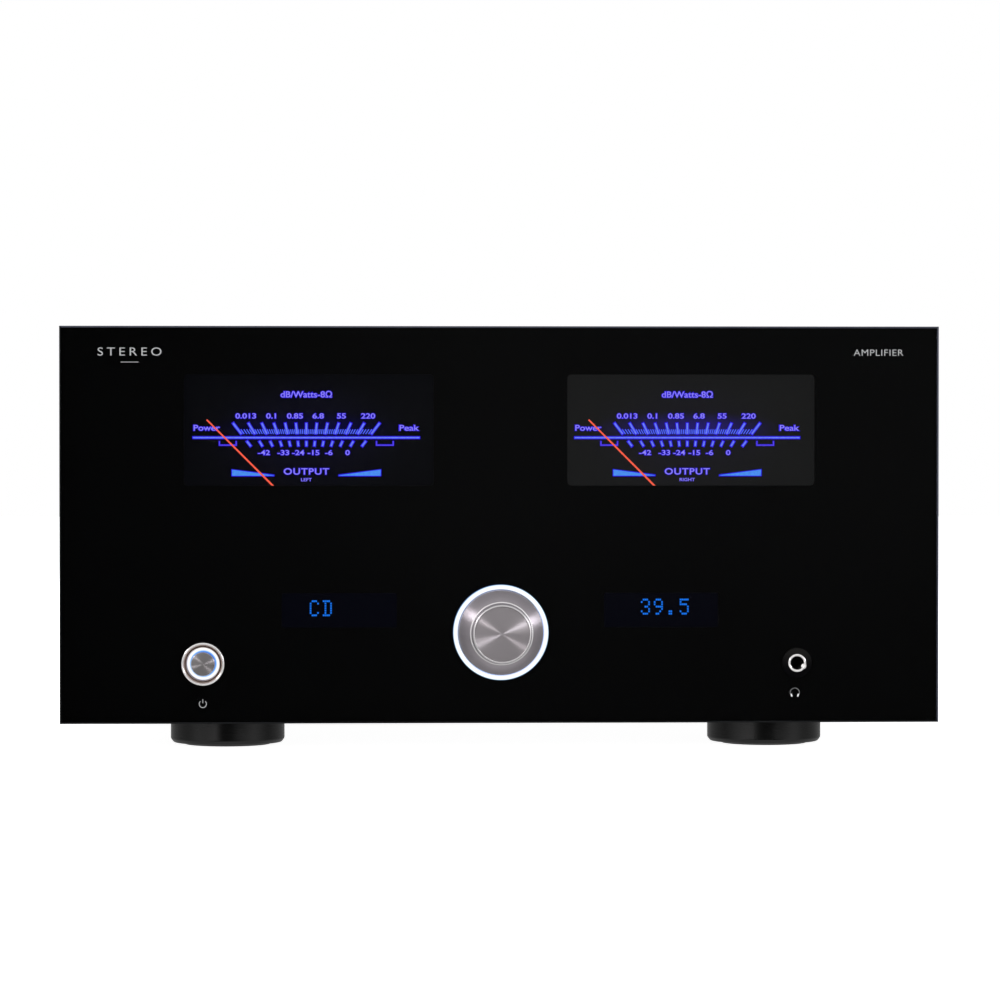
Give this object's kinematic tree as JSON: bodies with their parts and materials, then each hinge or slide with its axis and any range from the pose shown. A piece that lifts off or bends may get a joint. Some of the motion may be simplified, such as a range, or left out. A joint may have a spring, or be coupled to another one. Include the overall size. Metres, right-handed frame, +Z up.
{
  "type": "integrated stereo amplifier",
  "caption": "Wide black amplifier with a glass front, lit needle meters, a turned volume knob in a light ring, a ring-lit power button and round feet.",
  "frame": {"origin": "on the surface it stands on, under the middle of its bounding box", "axes": "+Z up; the glass front faces -Y and the connectors face +Y; +X is to the right seen from the front"},
  "size_m": [0.43, 0.438, 0.208],
  "materials": {
    "black_paint": "satin black powder coat on steel",
    "black_anodised": "satin black anodised",
    "rubber_pad": "matt",
    "smoked_glass": "polished, black tinted",
    "spun_aluminium": "spun, with circular grain",
    "bright_chrome": "polished",
    "light_pipe": "lit clear plastic, emissive cool white",
    "plain_steel": "zinc plated",
    "black_plastic": "moulded",
    "meter_dial": "matt black, blue-violet lit scale",
    "meter_needle": "matt orange-red, lit",
    "display_screen": "dark filter, blue dot characters",
    "circuit_board": "green solder mask",
    "transformer_tape": "wound copper under amber tape",
    "capacitor_sleeve": "shrink sleeve",
    "gold_plate": "gold plated"
  },
  "bodies": {
    "chassis": {"base_pan": "black_paint", "rear_panel": "black_paint", "top_cover": "black_paint", "front_frame": "black_anodised", "foot_front_left": "black_anodised", "foot_front_right": "black_anodised", "foot_rear_left": "black_anodised", "foot_rear_right": "black_anodised", "heatsink_left": "black_anodised", "heatsink_right": "black_anodised", "headphone_nut": "black_anodised", "foot_pad_front_left": "rubber_pad", "foot_pad_front_right": "rubber_pad", "foot_pad_rear_left": "rubber_pad", "foot_pad_rear_right": "rubber_pad", "front_glass": "smoked_glass", "power_bezel": "bright_chrome", "headphone_sleeve": "bright_chrome", "volume_light_ring": "light_pipe", "volume_encoder": "plain_steel", "transformer_clamp": "plain_steel", "power_switch": "black_plastic", "headphone_jack": "black_plastic", "meter_housing_left": "black_plastic", "meter_housing_right": "black_plastic", "meter_movement_left": "black_plastic", "meter_movement_right": "black_plastic", "rca_inputs": "black_plastic", "rca_outputs": "black_plastic", "speaker_terminals_left": "black_plastic", "speaker_terminals_right": "black_plastic", "mains_inlet": "black_plastic", "mains_switch": "black_plastic", "meter_dial_left": "meter_dial", "meter_dial_right": "meter_dial", "source_display": "display_screen", "volume_display": "display_screen", "front_board": "circuit_board", "amplifier_board_left": "circuit_board", "amplifier_board_right": "circuit_board", "power_supply_board": "circuit_board", "input_board": "circuit_board", "transformer": "transformer_tape", "reservoir_capacitor_1": "capacitor_sleeve", "reservoir_capacitor_2": "capacitor_sleeve", "reservoir_capacitor_3": "capacitor_sleeve", "reservoir_capacitor_4": "capacitor_sleeve"},
    "volume_control": {"volume_knob": "spun_aluminium", "volume_knob_disc": "spun_aluminium", "volume_shaft": "plain_steel"},
    "power_key": {"power_button": "spun_aluminium", "power_light_ring": "light_pipe"},
    "left_needle": {"meter_needle_left": "meter_needle"},
    "right_needle": {"meter_needle_right": "meter_needle"},
    "rocker": {"mains_rocker": "black_plastic"},
    "drawer": {"fuse_drawer": "black_plastic"},
    "cap_left_negative": {"terminal_cap_left_negative": "gold_plate"},
    "cap_left_positive": {"terminal_cap_left_positive": "gold_plate"},
    "cap_right_negative": {"terminal_cap_right_negative": "gold_plate"},
    "cap_right_positive": {"terminal_cap_right_positive": "gold_plate"}
  },
  "joints": [
    {"name": "volume_turn", "type": "hinge", "parent": "chassis", "child": "volume_control", "pos_m": [0, -0.219, 0.0584], "axis": [0, 1, 0], "continuous": true},
    {"name": "power_press", "type": "slide", "parent": "chassis", "child": "power_key", "axis": [0, 1, 0], "range_m": [0, 0.002], "stiffness_N_per_m": 600},
    {"name": "left_needle_swing", "type": "hinge", "parent": "chassis", "child": "left_needle", "pos_m": [-0.095, -0.1864, 0.1136], "axis": [0, 1, 0], "range_deg": [0, 90], "stiffness_Nm_per_rad": 0.0005},
    {"name": "right_needle_swing", "type": "hinge", "parent": "chassis", "child": "right_needle", "pos_m": [0.0924, -0.1864, 0.1136], "axis": [0, 1, 0], "range_deg": [0, 90], "stiffness_Nm_per_rad": 0.0005},
    {"name": "rocker_tilt", "type": "hinge", "parent": "chassis", "child": "rocker", "pos_m": [-0.118, 0.192, 0.062], "axis": [-1, 0, 0], "range_deg": [0, 20]},
    {"name": "fuse_drawer_slide", "type": "slide", "parent": "chassis", "child": "drawer", "axis": [0, 1, 0], "range_m": [0, 0.018]},
    {"name": "left_negative_cap_turn", "type": "hinge", "parent": "chassis", "child": "cap_left_negative", "pos_m": [0.097, 0.2013, 0.064], "axis": [0, 1, 0], "range_deg": [0, 1350]},
    {"name": "left_positive_cap_turn", "type": "hinge", "parent": "chassis", "child": "cap_left_positive", "pos_m": [0.123, 0.2013, 0.064], "axis": [0, 1, 0], "range_deg": [0, 1350]},
    {"name": "right_negative_cap_turn", "type": "hinge", "parent": "chassis", "child": "cap_right_negative", "pos_m": [-0.033, 0.2013, 0.064], "axis": [0, 1, 0], "range_deg": [0, 1350]},
    {"name": "right_positive_cap_turn", "type": "hinge", "parent": "chassis", "child": "cap_right_positive", "pos_m": [-0.007, 0.2013, 0.064], "axis": [0, 1, 0], "range_deg": [0, 1350]}
  ]
}
